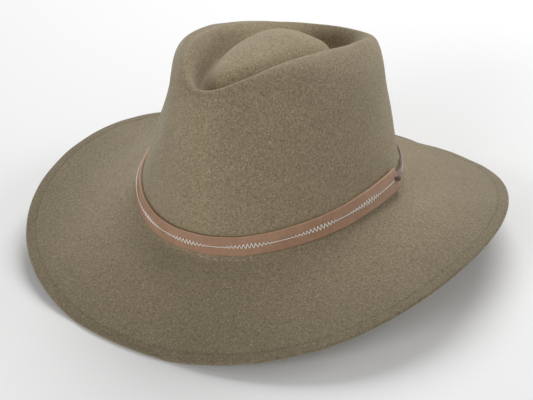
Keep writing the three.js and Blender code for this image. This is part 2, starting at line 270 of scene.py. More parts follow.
def face_normal(angle, place):
    """Cross product of the way round and the way up the upper face, from small steps each way."""
    knots = meridians(angle)
    last = len(knots) - 1
    ahead = on_meridians(knots, np.minimum(place + SMALL_STEP, last - SMALL_STEP))
    up = ahead - on_meridians(knots, np.maximum(place - SMALL_STEP, 0))
    held = np.minimum(place, last - SMALL_STEP)
    round_it = upper_face(angle + SMALL_STEP, held) - upper_face(angle - SMALL_STEP, held)
    return unit(np.cross(round_it, up))


def place_above(angle, height):
    """The place that is a height above the foot line, found by halving."""
    target = upper_face(angle, np.full(angle.shape, float(FOOT_PLACE)))[..., 2] + height
    low, high = np.full(angle.shape, FOOT_PLACE - 1.0), np.full(angle.shape, FOOT_PLACE + 3.0)
    for _ in range(HALVINGS):
        middle = (low + high) / 2
        under = upper_face(angle, middle)[..., 2] < target
        low, high = np.where(under, middle, low), np.where(under, high, middle)
    return (low + high) / 2


def rested(height):
    """Underside height after the brim settles: 0 below a small height, easing back to itself above it."""
    eased = (height - REST_FLAT) * REST_EASE / (REST_EASE - REST_FLAT)
    return np.where(height < REST_FLAT, 0, np.where(height < REST_EASE, eased, height))


def wavering(points, size, seed):
    """Smooth unevenness between -1 and 1: a mean of six sines along directions spread over a ball, whose
    wavelengths lie round the given size."""
    generator = np.random.default_rng(seed)
    total = np.zeros(points.shape[:-1])
    for direction in unit(generator.normal(size=(6, 3))):
        wavelength = size * generator.uniform(0.7, 1.6)
        total += np.sin(points @ direction * (2 * np.pi / wavelength) + generator.uniform(0, 2 * np.pi))
    return total / 3.2


class Wall:
    """The foot of the crown at a row of bearings, for strips that run round it: the upper face there by
    height above the foot line, and which way a strip on it faces."""

    def __init__(self, bearings, middle):
        self.angle = np.radians(bearings)
        self.heights = np.linspace(STRIP_LOW, STRIP_HIGH, STRIP_LEVELS)
        knots = meridians(self.angle)
        places = np.stack([place_above(self.angle, h) for h in self.heights])
        self.table = on_meridians(knots, places)
        self.out = face_normal(self.angle, place_above(self.angle, np.full(self.angle.shape, middle)))

    def at(self, height, distance):
        """Points at a height above the foot line, and a distance out from the felt, by linear lookup."""
        spacing = self.heights[1] - self.heights[0]
        step = np.clip((height - self.heights[0]) / spacing, 0, len(self.heights) - 1.001)
        k = np.floor(step).astype(int)
        t = (step - k)[..., None]
        column = np.broadcast_to(np.arange(len(self.angle)), k.shape)
        under, over = self.table[k, column], self.table[k + 1, column]
        return under * (1 - t) + over * t + self.out * distance[..., None]


def band_off(bearing):
    """How far the band stands off the felt: a little all round, and more at its two ends."""
    left = hump(np.maximum(0, BAND_LEFT - bearing), END_LIFT_SPAN)
    rear = hump(np.maximum(0, bearing - BAND_REAR), END_LIFT_SPAN)
    return BAND_GAP + END_LIFT * np.maximum(left, rear)


def lace_off(bearing):
    """How far the lace is off the felt: close along it, bowed out just past the band's left end."""
    past = bearing - BAND_LEFT
    clear = smoothstep(past, -1, LACE_BOW_SPAN / 2)
    return LACE_GAP + LACE_BOW * clear * hump(past - LACE_BOW_SPAN / 3, LACE_BOW_SPAN)


# Meshes


def grid_quads(rows, columns, joined):
    """Quads of a grid numbered row by row. The last column meets the first where it is joined."""
    j = np.arange(columns if joined else columns - 1)
    k = np.arange(rows - 1)[:, None] * columns
    right = (j + 1) % columns
    return np.stack([k + j, k + right, k + columns + right, k + columns + j], axis=-1).reshape(-1, 4)


def fan(ring, tip):
    """Triangles from a ring of vertex numbers to one vertex."""
    return np.stack([ring, np.roll(ring, -1), np.full(len(ring), tip)], axis=-1)


def new_piece(name, points, quads, triangles=None, values=None, smooth=True):
    """Puts points and faces into a mesh object at the origin. values maps a name to one number a point."""
    triangles = np.zeros((0, 3), int) if triangles is None else triangles
    mesh = bpy.data.meshes.new(name)
    mesh.vertices.add(len(points))
    mesh.vertices.foreach_set("co", np.asarray(points, np.float32).ravel())
    corners = np.concatenate([quads.ravel(), triangles.ravel()]).astype(np.int32)
    counts = np.concatenate([np.full(len(quads), 4), np.full(len(triangles), 3)]).astype(np.int32)
    mesh.loops.add(len(corners))
    mesh.loops.foreach_set("vertex_index", corners)
    mesh.polygons.add(len(counts))
    mesh.polygons.foreach_set("loop_start", np.concatenate([[0], np.cumsum(counts)[:-1]]).astype(np.int32))
    mesh.polygons.foreach_set("loop_total", counts)
    mesh.polygons.foreach_set("use_smooth", np.full(len(counts), smooth))
    for key, numbers in (values or {}).items():
        attribute = mesh.attributes.new(key, "FLOAT", "POINT")
        attribute.data.foreach_set("value", np.asarray(numbers, np.float32).ravel())
    mesh.update(calc_edges=True)
    mesh.validate()
    piece = bpy.data.objects.new(name, mesh)
    bpy.context.scene.collection.objects.link(piece)
    return piece


def capped(rings, first_tip, last_tip):
    """Points, quads and triangles of a tube, from its rings, (stations, corners, 3), closed with a fan to a
    tip at each end."""
    stations, corners = rings.shape[:2]
    ring = np.arange(corners)
    points = np.concatenate([rings.reshape(-1, 3), first_tip[None], last_tip[None]])
    last = (ring + (stations - 1) * corners)[::-1]
    triangles = np.concatenate([fan(ring, len(points) - 2), fan(last, len(points) - 1)])
    return points, grid_quads(stations, corners, True)[:, ::-1], triangles


def strip_piece(name, outlines, values=None):
    """Skins closed outlines, (stations, corners, 3), and closes both ends with fans to their middles."""
    points, quads, triangles = capped(outlines, outlines[0].mean(0), outlines[-1].mean(0))
    padded = {
        key: np.concatenate([v.ravel(), [v[0].mean(), v[-1].mean()]]) for key, v in (values or {}).items()
    }
    return new_piece(name, points, quads, triangles, padded)


def tube_outlines(path, facing, radius, sides, flat=1.0):
    """Rings round a path: an ellipse in the plane of the facing direction and the one across the path."""
    ahead = unit(np.gradient(path, axis=0))
    across = unit(np.cross(ahead, facing))
    over = unit(np.cross(across, ahead))
    turn = np.linspace(0, 2 * np.pi, sides, endpoint=False)[None, :, None]
    radius = np.broadcast_to(np.asarray(radius, float), len(path))[:, None, None]
    return path[:, None] + radius * (across[:, None] * np.cos(turn) + flat * over[:, None] * np.sin(turn))


def arc_length(path):
    """Running distance along a path of points."""
    return np.concatenate([[0], np.cumsum(np.linalg.norm(np.diff(path, axis=0), axis=1))])


def ball(centre, axis, radius, squash, twist):
    """A small wound knot: a ball round an axis, flatter along it, with grooves that wind round it."""
    side = unit(np.cross(axis, [0.3, 0.2, 1.0]))
    other = np.cross(axis, side)
    polar = np.linspace(0, np.pi, 15)[1:-1, None]
    turn = np.linspace(0, 2 * np.pi, 28, endpoint=False)[None, :]
    size = radius * (1 - 0.11 * np.abs(np.sin(1.5 * turn + twist * polar)) ** 3 * np.sin(polar))
    points = (
        centre
        + (size * np.sin(polar) * np.cos(turn))[..., None] * side
        + (size * np.sin(polar) * np.sin(turn))[..., None] * other
        + (squash * size * np.cos(polar))[..., None] * axis
    )
    tips = np.stack([centre + axis * radius * squash, centre - axis * radius * squash])
    rows, columns = points.shape[:2]
    ring = np.arange(columns)
    last = (ring + (rows - 1) * columns)[::-1]
    triangles = np.concatenate([fan(ring, rows * columns), fan(last, rows * columns + 1)])
    return np.concatenate([points.reshape(-1, 3), tips]), grid_quads(rows, columns, True)[:, ::-1], triangles


def joined(parts):
    """Puts several (points, quads, triangles) together as one."""
    points, quads, triangles, count = [], [], [], 0
    for p, q, t in parts:
        points.append(p)
        quads.append(q + count)
        triangles.append(t + count)
        count += len(p)
    return np.concatenate(points), np.concatenate(quads), np.concatenate(triangles)


def place_piece(piece, material, node=None):
    """Gives a piece its material and its place on the object, and hides the CAD node that it stands for."""
    piece.data.materials.append(material)
    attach(piece, "root")
    if node:
        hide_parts(node)


# Materials


class Finish:
    """A node material in the making, with short calls for the nodes that the finishes share."""

    def __init__(self, name, **sockets):
        self.material = bpy.data.materials.new(name)
        self.material.use_nodes = True
        self.tree = self.material.node_tree
        self.surface = self.tree.nodes["Principled BSDF"]
        for socket, value in sockets.items():
            self.surface.inputs[socket.replace("_", " ")].default_value = value

    def node(self, kind, inputs=None, **settings):
        """A new node with its settings, and its inputs linked or set."""
        node = self.tree.nodes.new(kind)
        for key, value in settings.items():
            setattr(node, key, value)
        for key, value in (inputs or {}).items():
            if isinstance(value, bpy.types.NodeSocket):
                self.tree.links.new(value, node.inputs[key])
            else:
                node.inputs[key].default_value = value
        return node

    def position(self, scale=(1, 1, 1), turn=(0, 0, 0)):
        """Object coordinates, stretched and turned."""
        coordinates = self.node("ShaderNodeTexCoord")
        mapping = self.node("ShaderNodeMapping", {"Vector": coordinates.outputs["Object"], "Scale": scale})
        mapping.inputs["Rotation"].default_value = turn
        return mapping.outputs["Vector"]

    def noise(self, vector, scale, detail=4, roughness=0.55, distortion=0.0):
        """Cloudy noise from 0 to 1, mostly near the middle."""
        inputs = {"Vector": vector, "Scale": scale, "Detail": detail}
        inputs.update({"Roughness": roughness, "Distortion": distortion})
        return self.node("ShaderNodeTexNoise", inputs).outputs["Fac"]

    def value(self, name):
        """A number that the mesh carries at each point."""
        return self.node("ShaderNodeAttribute", attribute_name=name).outputs["Fac"]

    def range(self, value, low, high, to_low, to_high, smooth=False):
        """A value carried from one range to another, held at its ends."""
        node = self.node("ShaderNodeMapRange", {"Value": value})
        node.interpolation_type = "SMOOTHSTEP" if smooth else "LINEAR"
        for key, number in zip(("From Min", "From Max", "To Min", "To Max"), (low, high, to_low, to_high)):
            node.inputs[key].default_value = number
        return node.outputs["Result"]

    def math(self, operation, a, b):
        """One sum on two values."""
        node = self.node("ShaderNodeMath", {0: a, 1: b}, operation=operation)
        return node.outputs[0]

    def mix(self, amount, a, b, blend="MIX"):
        """Colour a, and colour b over it by an amount."""
        node = self.node("ShaderNodeMix", data_type="RGBA", blend_type=blend)
        for key, value in ((0, amount), (6, a), (7, b)):
            if isinstance(value, bpy.types.NodeSocket):
                self.tree.links.new(value, node.inputs[key])
            else:
                node.inputs[key].default_value = value if key == 0 else (*value[:3], 1)
        return node.outputs[2]

    def shade(self, colour, factor):
        """A colour times a grey factor."""
        grey = self.node("ShaderNodeCombineColor", {"Red": factor, "Green": factor, "Blue": factor})
        return self.mix(1.0, colour, grey.outputs["Color"], "MULTIPLY")

    def bump(self, height, distance, strength=1.0, normal=None):
        """Fine relief from a height, over any relief before it."""
        node = self.node("ShaderNodeBump", {"Height": height, "Distance": distance, "Strength": strength})
        if normal is not None:
            self.tree.links.new(normal, node.inputs["Normal"])
        return node.outputs["Normal"]

    def set(self, **sockets):
        """Links values to the surface's sockets."""
        for key, value in sockets.items():
            self.tree.links.new(value, self.surface.inputs[key.replace("_", " ")])


def felt_finish(settings):
    """Felt of mixed fibres: mottled at three sizes, flecked with lighter and darker hairs, with a soft sheen.
    The strip outside the hem line is darkened by painted shade, and the hem line itself most, by painted
    shade in its groove. The brim is darkened towards its edge by painted shade, the crest is lit by a painted
    highlight, and the dent in the crown is lightened by painted light."""
    finish = Finish("felt", Roughness=0.92, Specular_IOR_Level=0.12, Sheen_Weight=0.38, Sheen_Roughness=0.4)
    finish.surface.inputs["Sheen Tint"].default_value = (0.86, 0.82, 0.72, 1)
    place = finish.position()
    blotch = finish.noise(place, 26, 3, 0.5)
    mottle = finish.noise(place, 430, 4, 0.6, 0.6)
    grain = finish.noise(place, 980, 4, 0.7, 1.4)
    hairs = [
        finish.noise(finish.position(scale, turn), 1.0, 3, 0.6, 1.8)
        for scale, turn in (((420, 2600, 2600), (0.5, 0.3, 0.6)), ((2600, 420, 2600), (0.2, 0.7, -0.5)),
                            ((2300, 2300, 380), (0.6, -0.4, 0.2)))
    ]
    colour = finish.mix(finish.range(mottle, 0.32, 0.68, 0, 1), settings.dark, settings.light)
    colour = finish.mix(finish.range(grain, 0.52, 0.7, 0, 0.9), colour, settings.pale_hair)
    colour = finish.mix(finish.range(grain, 0.48, 0.3, 0, 0.95), colour, settings.dark_hair)
    colour = finish.mix(finish.range(hairs[0], 0.62, 0.72, 0, 0.45), colour, settings.pale_hair)
    colour = finish.mix(finish.range(hairs[1], 0.64, 0.74, 0, 0.45), colour, settings.dark_hair)
    colour = finish.mix(finish.range(hairs[2], 0.64, 0.74, 0, 0.35), colour, settings.pale_hair)
    tone = finish.range(blotch, 0.3, 0.7, 0.965, 1.035)
    rim = finish.value("from_edge")
    hem = settings.hem_width
    # painted shade: the strip outside the hem line is darker
    strip = finish.range(rim, hem - 0.002, hem + 0.001, 0.92, 1.0, True)
    # painted shade in the hem's groove: darkest along the hem line
    off_hem = finish.math("ABSOLUTE", finish.math("SUBTRACT", rim, hem), 0)
    groove = finish.range(off_hem, 0, 0.0016, 0.84, 1.0, True)
    # painted shade: the brim darker towards its edge and lighter further in
    painted_edge_shade = finish.range(rim, 0.004, 0.064, 0.89, 1.1, True)
    # painted highlight along the crest
    painted_light_and_nap = finish.range(finish.value("from_crest"), 0.0, 0.008, 1.16, 1.0, True)
    # painted light: the dent in the crown lighter
    painted_dent_light = finish.range(finish.value("in_dent"), 0, 1, 1.0, 1.24)
    for factor in (strip, groove, painted_edge_shade, painted_light_and_nap, painted_dent_light):
        tone = finish.math("MULTIPLY", tone, factor)
    colour = finish.shade(colour, tone)
    fluff = finish.math("ADD", finish.math("MULTIPLY", hairs[0], 0.5), finish.math("MULTIPLY", hairs[1], 0.5))
    normal = finish.bump(mottle, 0.0005, 0.6)
    normal = finish.bump(grain, 0.0005, 0.85, normal)
    normal = finish.bump(fluff, 0.00016, 0.7, normal)
    finish.set(Base_Color=colour, Normal=normal)
    return finish.material


def leather_finish(settings):
    """Tan leather: fine pores and creases, a slow change of tone along the strip, an upper edge lighter from
    the cut edge's own colour and a painted highlight, a lower edge darkened by painted shade, and a satin
    gloss that the grain breaks up."""
    finish = Finish("band_leather", Specular_IOR_Level=0.35, Coat_Weight=0.06, Coat_Roughness=0.4)
    place = finish.position()
    tone = finish.noise(place, 40, 4, 0.55)
    cloud = finish.noise(place, 260, 5, 0.65, 0.5)
    pores = finish.node("ShaderNodeTexVoronoi", {"Vector": place, "Scale": 1300.0, "Randomness": 0.95})
    pores.feature = "DISTANCE_TO_EDGE"
    pore = finish.range(pores.outputs["Distance"], 0.0, 0.22, 0, 1, True)
    streak = finish.noise(finish.position((500, 500, 2400)), 1.0, 3, 0.6, 0.5)
    colour = finish.mix(finish.range(tone, 0.3, 0.7, 0, 1), settings.deep, settings.tan)
    colour = finish.mix(finish.range(cloud, 0.48, 0.72, 0, 0.5), colour, settings.pale)
    colour = finish.mix(finish.range(streak, 0.58, 0.75, 0, 0.3), colour, settings.deep)
    colour = finish.shade(colour, finish.range(pore, 0, 1, 0.86, 1.02))
    across = finish.value("across")
    # lighter upper edge: the cut edge's own colour and a painted highlight
    colour = finish.mix(finish.range(across, 0.93, 1.0, 0, 0.75, True), colour, settings.cut_edge_and_highlight)
    # painted shade along the lower edge
    colour = finish.shade(colour, finish.range(across, 0.0, 0.08, 0.72, 1.0, True))
    seam = finish.range(finish.value("from_stitch"), 0.0004, 0.0016, 0.88, 1.0, True)
    colour = finish.shade(colour, seam)
    normal = finish.bump(pore, 0.00012, 0.55)
    normal = finish.bump(cloud, 0.0004, 0.35, normal)
    finish.set(Base_Color=colour, Normal=normal, Roughness=finish.range(cloud, 0.3, 0.7, 0.46, 0.66))
    return finish.material


def lace_finish(settings):
    """Dark thong with pale flecks of nap, its outer face made paler by painted light."""
    finish = Finish("lace_leather", Specular_IOR_Level=0.3, Sheen_Weight=0.25, Sheen_Roughness=0.4)
    finish.surface.inputs["Sheen Tint"].default_value = (0.8, 0.72, 0.72, 1)
    place = finish.position()
    cloud = finish.noise(place, 700, 5, 0.65, 0.8)
    fibre = finish.noise(place, 3200, 3, 0.6, 1.2)
    colour = finish.mix(finish.range(cloud, 0.3, 0.7, 0, 1), settings.dark, settings.plum)
    # painted light: the outer face paler
    colour = finish.mix(finish.math("MULTIPLY", finish.value("outer"), 0.75), colour, settings.painted_light_and_nap)
    colour = finish.mix(finish.range(fibre, 0.55, 0.75, 0, 0.4), colour, settings.painted_light_and_nap)
    normal = finish.bump(cloud, 0.0003, 0.5)
    normal = finish.bump(fibre, 0.00012, 0.6, normal)
    finish.set(Base_Color=colour, Normal=normal, Roughness=finish.range(fibre, 0.3, 0.7, 0.6, 0.85))
    return finish.material


def thread_finish(name, colour, shadow):
    """Twisted thread: plies that wind along it, from the distance along and the turn round the tube."""
    finish = Finish(name, Specular_IOR_Level=0.3, Roughness=0.62, Sheen_Weight=0.15)
    winding = finish.math("ADD", finish.math("MULTIPLY", finish.value("along"), 2 * np.pi / 0.0009),
                          finish.math("MULTIPLY", finish.value("turn"), 2 * np.pi))
    ply = finish.range(finish.math("SINE", winding, 0), -1, 1, 0, 1)
    fuzz = finish.noise(finish.position(), 4200, 3, 0.6)
    base = finish.mix(finish.range(ply, 0, 0.6, 0, 1, True), shadow, colour)
    base = finish.shade(base, finish.range(fuzz, 0.3, 0.7, 0.9, 1.06))
    normal = finish.bump(ply, 0.00006, 0.8)
    finish.set(Base_Color=base, Normal=normal)
    return finish.material


def floor_finish(settings):
    """Pale matt studio floor with the faintest unevenness."""
    finish = Finish("studio_floor", Roughness=0.9, Specular_IOR_Level=0.1)
    cloud = finish.noise(finish.position(), 3.0, 2)
    finish.set(Base_Color=finish.shade(settings.floor, finish.range(cloud, 0.3, 0.7, 0.985, 1.0)))
    return finish.material


# Sizes and colours


def colour_property(name, description, default):
    """A colour that the panel shows."""
    return FloatVectorProperty(
        name=name, description=description, default=default, size=3, min=0, max=1, subtype="COLOR"
    )


def length_property(name, description, default):
    """A length in metres that the panel shows."""
    return FloatProperty(
        name=name, description=description, default=default, min=0, unit="LENGTH", precision=4
    )


def power_property(name, description, default):
    """A lamp's power in watts that the panel shows."""
    return FloatProperty(name=name, description=description, default=default, min=0, unit="POWER")


class HatFelt(bpy.types.PropertyGroup):
    """Sizes and colours of the felt."""

    length: length_property("Length", "Brim edge to brim edge, front to back", FELT_HIGH.y - FELT_LOW.y)
    width: length_property("Width", "Brim edge to brim edge, side to side", 336.9 * MM)
    height: length_property("Height", "Resting plane to the highest line of the crest", 156.7 * MM)
    thickness: length_property("Thickness", "Thickness of the felt", 2.4 * MM)
    hem_width: length_property("Hem", "Edge of the brim to the line pressed into it", 7.5 * MM)
    dark: colour_property("Dark", "Darker mottling", (0.212, 0.170, 0.107))
    light: colour_property("Light", "Lighter mottling", (0.270, 0.219, 0.141))
    pale_hair: colour_property("Pale hairs", "Palest fibres", (0.48, 0.41, 0.28))
    dark_hair: colour_property("Dark hairs", "Darkest fibres", (0.080, 0.062, 0.036))


class HatBand(bpy.types.PropertyGroup):
    """Sizes and colours of the leather band."""

    width: length_property("Width", "Width of the band", 13 * MM)
    thickness: length_property("Thickness", "Thickness of the band", 1.9 * MM)
    tan: colour_property("Tan", "Main colour of the leather", (0.395, 0.232, 0.143))
    deep: colour_property("Deep", "Darker tone of the leather", (0.30, 0.168, 0.10))
    pale: colour_property("Pale", "Rubbed tone of the leather", (0.46, 0.285, 0.185))
    cut_edge_and_highlight: colour_property("Cut edge", "Bevelled upper edge", (0.60, 0.40, 0.265))


class HatThread(bpy.types.PropertyGroup):
    """Sizes and colours of the stitching."""

    thickness: length_property("Thickness", "Thickness of the zigzag thread", 0.55 * MM)
    pitch: length_property("Pitch", "Length of one zigzag", 2.7 * MM)
    height: length_property("Height", "Height of the zigzag where it is tallest", 3.6 * MM)
    cream: colour_property("Cream", "Zigzag thread", (0.94, 0.92, 0.87))
    cream_shadow: colour_property("Cream shadow", "Between the plies of the zigzag thread", (0.74, 0.69, 0.6))
    grey: colour_property("Grey", "Seam thread", (0.52, 0.49, 0.42))
    grey_shadow: colour_property("Grey shadow", "Between the plies of the seam thread", (0.3, 0.28, 0.23))


class HatLace(bpy.types.PropertyGroup):
    """Sizes and colours of the lace."""

    width: length_property("Width", "Width of the thong", 3.3 * MM)
    thickness: length_property("Thickness", "Thickness of the thong", 1.3 * MM)
    knot: length_property("Knot", "Width of each knot", 4 * MM)
    dark: colour_property("Dark", "Darkest tone", (0.06, 0.038, 0.034))
    plum: colour_property("Plum", "Main colour of the thong", (0.12, 0.072, 0.066))
    # pale colour of the nap flecks, and of the painted light on the outer face
    painted_light_and_nap: colour_property("Nap and painted light", "Paler outer face", (0.40, 0.30, 0.28))


class HatStudio(bpy.types.PropertyGroup):
    """Floor, light and camera."""

    floor: colour_property("Floor", "Colour of the floor", (0.92, 0.92, 0.92))
    sky: FloatProperty(name="Surround", description="Strength of the even light", default=0.24, min=0)
    back: power_property("Back", "Power of the high light behind the hat", 31)
    front: power_property("Front", "Power of the low light before the hat", 20)
    side: power_property("Side", "Power of the low light behind the wearer's left", 14)


# Makers of the pieces and the stage


class HAT_OT_felt(bpy.types.Operator):
    """Felt body: one sheet with a rounded rim, an upper face and a lower one a thickness under it"""

    bl_idname = "hat.make_felt"
    bl_label = "Felt Body"

    def execute(self, context):
        settings = context.scene.hat_felt
        columns = FELT_COLUMNS
        angle = np.linspace(0, 2 * np.pi, columns, endpoint=False)
        knots = meridians(angle)
        last = len(knots) - 1
        # mean distance from the edge at places along the meridian, to space the rows by length
        fine = np.linspace(0, last, 3000)
        sample = on_meridians(knots[:, ::20], np.repeat(fine[:, None], len(angle[::20]), axis=1))
        run = np.concatenate([[0], np.cumsum(np.linalg.norm(np.diff(sample, axis=0), axis=-1).mean(-1))])
        half = settings.thickness / 2
        hem = settings.hem_width
        total = run[-1]
        upper_at = np.concatenate([
            np.linspace(half, hem - HEM_REACH, 6, endpoint=False),
            np.linspace(hem - HEM_REACH, hem + HEM_REACH, 13),
            np.arange(hem + 2 * MM, total - 0.7 * MM, ROW_SPACING),
        ])
        lower_at = np.concatenate([
            np.linspace(half, hem, 5), np.arange(hem + 3 * MM, total - 1.5 * MM, UNDERSIDE_ROW_SPACING),
        ])
        faces = {}
        for side, distances in (("upper", upper_at), ("lower", lower_at)):
            place = np.repeat(np.interp(distances, run, fine)[:, None], columns, axis=1)
            top = on_meridians(knots, place)
            normal = face_normal(angle, place)
            bottom = top - normal * settings.thickness
            shift = rested(bottom[..., 2]) - bottom[..., 2]
            top[..., 2] += shift
            bottom[..., 2] += shift
            distance = np.concatenate([
                np.broadcast_to(distances[0], (1, columns)),
                distances[0] + np.cumsum(np.linalg.norm(np.diff(top, axis=0), axis=-1), axis=0),
            ])
            # the pressed hem line, and a soft unevenness that dies out by the band and the resting plane
            groove = -HEM_DEPTH * hump(distance - hem, HEM_SPREAD)
            clear = 1 - hump(np.maximum(0, np.abs(place - FOOT_PLACE - 0.6) - 0.9), 0.5)
            clear = clear * smoothstep(bottom[..., 2], 1 * MM, 8 * MM)
            uneven = clear * sum(height * wavering(top, size, seed) for height, size, seed in UNEVEN)
            face = top if side == "upper" else bottom
            sign = 1 if side == "upper" else -1
            face = face + normal * (sign * groove * smoothstep(bottom[..., 2], 0, 2 * MM) + uneven)[..., None]
            faces[side] = (face, normal, distance, place - CREST_PLACE)
        upper, lower = faces["upper"], faces["lower"]
        # rounded rim: half an ellipse from the lower face's first row out to the edge and up to the upper's
        middle = (upper[0][0] + lower[0][0]) / 2
        rise = (upper[0][0] - lower[0][0]) / 2
        out = unit(middle - (upper[0][1] + lower[0][1]) / 2) * half
        turns = np.linspace(-np.pi / 2, np.pi / 2, 9)[1:-1, None, None]
        rim = middle + out * np.cos(turns) + rise * np.sin(turns)
        rim[..., 2] = np.maximum(rim[..., 2], 0)
        rows = np.concatenate([lower[0][::-1], rim, upper[0]])
        zeros = np.zeros(rim.shape[:2])
        from_edge = np.concatenate([lower[2][::-1], zeros, upper[2]])
        under = np.full((len(lower[3]) + len(rim), columns), UNDERSIDE_PLACE)
        past_crest = np.concatenate([under, upper[3]])
        from_crest = CREST_SPACING * np.abs(past_crest)
        in_dent = smoothstep(past_crest, -0.5, 2.5)
        peak = np.array([0, settings.length / 2 * PEAK_ALONG, settings.height * PEAK_HEIGHT])
        points = np.concatenate([rows.reshape(-1, 3), [peak, peak - [0, 0, settings.thickness]]])
        first = np.arange(columns)
        final = first + (len(rows) - 1) * columns
        triangles = np.concatenate([fan(final, len(points) - 2), fan(first[::-1], len(points) - 1)])
        piece = new_piece(
            "felt_hat_body", points, grid_quads(len(rows), columns, True), triangles,
            {
                "from_edge": np.append(from_edge.ravel(), [FAR, FAR]),
                "from_crest": np.append(from_crest.ravel(), [FAR, FAR]),
                "in_dent": np.append(in_dent.ravel(), [1, 0]),
            },
        )
        place_piece(piece, felt_finish(settings), "felt_body")
        return {"FINISHED"}


def stitch_offset(bearing, arc, settings):
    """Height of the zigzag about the middle of the band: a triangle wave whose size swells before each burst
    and falls faster after it."""
    size = np.zeros(bearing.shape)
    for centre in BURSTS:
        before = np.clip(1 + (bearing - centre) / BURST_RISE, 0, 1) * (bearing <= centre)
        after = np.clip(1 - (bearing - centre) / BURST_FALL, 0, 1) * (bearing > centre)
        size = np.maximum(size, before**0.9 + after**0.9)
    wave = 2 * np.abs(2 * ((arc / settings.pitch) % 1) - 1) - 1
    return settings.height / 2 * size * wave, size


class HAT_OT_band(bpy.types.Operator):
    """Leather band: a bevelled, slightly crowned strip round the foot of the crown, its ends off the felt"""

    bl_idname = "hat.make_band"
    bl_label = "Leather Band"

    def execute(self, context):
        settings = context.scene.hat_band
        bearings = np.linspace(BAND_REAR, BAND_LEFT, BAND_STATIONS)
        low, high = BAND_ABOVE_FOOT, BAND_ABOVE_FOOT + settings.width
        wall = Wall(bearings, low + settings.width / 2)
        thick, bevel = settings.thickness, BAND_BEVEL
        # corners of the section: height above the foot line, depth from the band's back, and share across it
        share = np.linspace(0, 1, 17)
        crown = 0.16 * MM * (1 - (2 * share - 1) ** 2)
        outer_height = low + bevel + share * (settings.width - 2 * bevel)
        section_height = np.concatenate([
            [low, low, low + 0.1 * MM], outer_height, [high - 0.1 * MM, high, high], [(low + high) / 2],
        ])
        section_depth = np.concatenate([
            [0, thick - bevel, thick - 0.35 * bevel], thick - 0.1 * MM + crown,
            [thick - 0.35 * bevel, thick - bevel, 0], [0],
        ])
        across = np.concatenate([[0, 0, 0.01], 0.04 + 0.9 * share, [0.985, 1, 1], [0.5]])
        angle = np.radians(bearings)
        waver = 0.14 * MM * np.sin(angle * 9 + 0.6) + 0.1 * MM * np.sin(angle * 23)
        height = section_height[:, None] + waver[None, :]
        # its back reaches in till it all but touches the felt
        reach = np.where(section_depth > 0, 0, 0.1 * MM - BAND_GAP)
        distance = (section_depth + reach)[:, None] + band_off(bearings)[None, :]
        outlines = wall.at(height, distance).transpose(1, 0, 2)
        stations, corners = outlines.shape[:2]
        middle = (section_height - (low + high) / 2)[None, :] + 0 * bearings[:, None]
        front = (section_depth > 0.5 * thick)[None, :]
        away = np.where(front, np.abs(middle), 0.01)
        piece = strip_piece("leather_hat_band", outlines,
                            {"across": np.broadcast_to(across, (stations, corners)), "from_stitch": away})
        place_piece(piece, leather_finish(settings), "leather_band")
        return {"FINISHED"}


class HAT_OT_zigzag(bpy.types.Operator):
    """Zigzag stitching: one cream thread along the middle of the band, dipping at each needle hole"""

    bl_idname = "hat.make_zigzag"
    bl_label = "Zigzag Stitching"

    def execute(self, context):
        settings, band = context.scene.hat_thread, context.scene.hat_band
        middle = BAND_ABOVE_FOOT + band.width / 2
        coarse = np.linspace(BAND_REAR + 5, BAND_LEFT - HOLE_INSET - 1.1, ZIGZAG_STATIONS)
        wall = Wall(coarse, middle)
        line = wall.at(np.full(coarse.shape, middle), band_off(coarse) + band.thickness)
        length = arc_length(line)
        steps = int(length[-1] / (settings.pitch / 2)) * TOOTH_STEPS
        arc = np.linspace(0, length[-1], steps + 1)
        bearing = np.interp(arc, length, coarse)
        offset, size = stitch_offset(bearing, arc, settings)
        along_tooth = (arc / (settings.pitch / 2)) % 1
        radius = settings.thickness / 2
        lift = radius * (0.35 + 0.75 * np.sin(np.pi * along_tooth))
        wall = Wall(bearing, middle)
        depth = band.thickness + 0.06 * MM + band_off(bearing)
        path = wall.at(middle + offset, depth + lift)
        rings = tube_outlines(path, wall.out, radius * (0.86 + 0.14 * size), THREAD_SIDES, flat=0.85)
        along = np.repeat(arc_length(path)[:, None], THREAD_SIDES, axis=1)
        turn = np.broadcast_to(np.arange(THREAD_SIDES) / THREAD_SIDES, along.shape)
        piece = strip_piece("zigzag_stitching", rings, {"along": along, "turn": turn})
        thread = thread_finish("cream_thread", settings.cream, settings.cream_shadow)
        place_piece(piece, thread)
        return {"FINISHED"}


